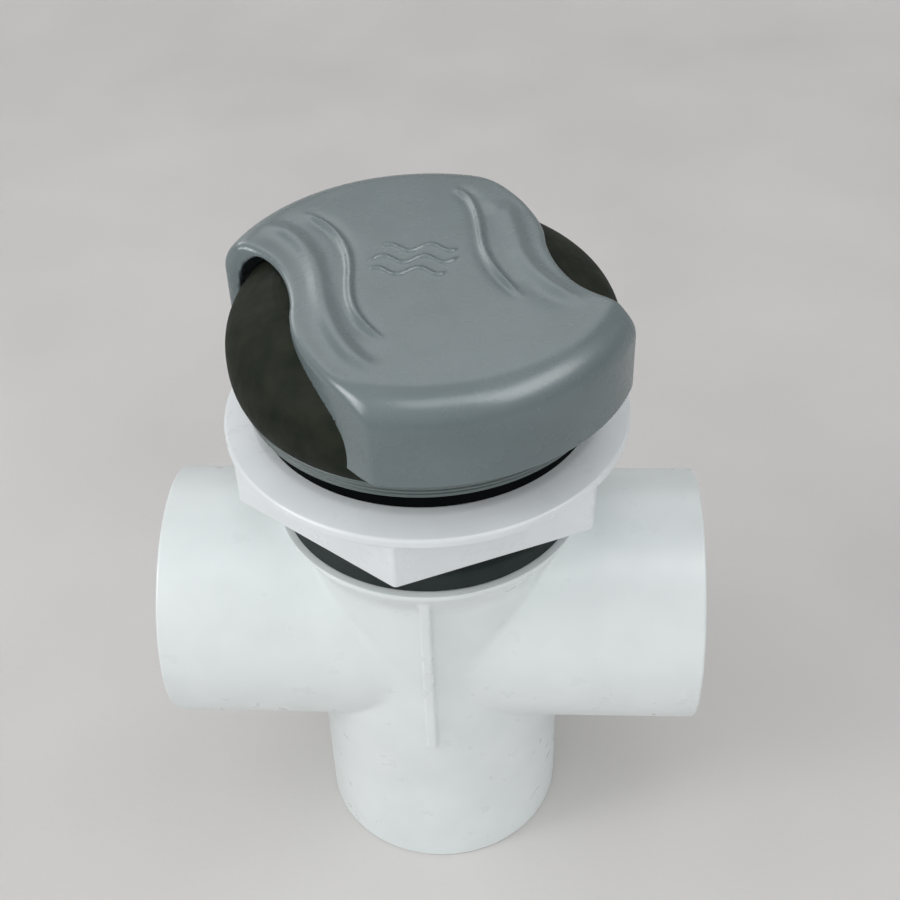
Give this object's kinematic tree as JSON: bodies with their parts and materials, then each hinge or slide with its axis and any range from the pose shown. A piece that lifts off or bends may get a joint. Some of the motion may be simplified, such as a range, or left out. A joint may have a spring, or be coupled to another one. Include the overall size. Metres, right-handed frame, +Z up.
{
  "type": "diverter valve",
  "caption": "Three-port rotary diverter valve with slip sockets, hexagonal shell nut with round trim flange, and a domed turning handle under a wave-cut cover.",
  "frame": {"origin": "centre of the bottom socket's end face", "axes": "+Z up along the stem to the handle, +X along the two side sockets, +Y to the back, away from the cover's long front corner"},
  "size_m": [0.145, 0.1056, 0.1886],
  "materials": {
    "white_pvc": "satin moulded white PVC",
    "white_nut": "satin moulded white ABS",
    "white_rotor": "matt moulded white PVC",
    "cover_abs": "satin bluish grey ABS",
    "grey_abs": "satin grey ABS",
    "charcoal_plastic": "fine-grained matt charcoal plastic",
    "black_rubber": "matt black EPDM",
    "acetal": "natural acetal",
    "stainless": "stainless steel",
    "brass": "machined brass"
  },
  "bodies": {
    "body": {"valve_body": "white_pvc", "body_gasket": "black_rubber", "bonnet": "grey_abs", "bonnet_seal": "black_rubber", "plug_o_ring": "black_rubber", "lower_thrust_washer": "acetal", "upper_thrust_washer": "acetal", "wear_ring": "acetal"},
    "nut": {"mounting_nut": "white_nut"},
    "handle": {"handle_cover": "cover_abs", "handle_base": "charcoal_plastic", "handle_screw": "stainless", "screw_washer": "stainless", "screw_insert": "brass", "retaining_ring": "stainless", "stem": "acetal", "stem_o_ring_lower": "black_rubber", "stem_o_ring_upper": "black_rubber", "rotor": "white_rotor", "rotor_pin": "stainless", "gate_seal": "black_rubber"}
  },
  "joints": [
    {"name": "handle_turn", "type": "hinge", "parent": "body", "child": "handle", "pos_m": [0, 0, 0.1396], "axis": [0, 0, 1], "continuous": true},
    {"name": "nut_travel", "type": "slide", "parent": "body", "child": "nut", "axis": [0, 0, 1], "range_m": [-0.0081, 0]}
  ]
}
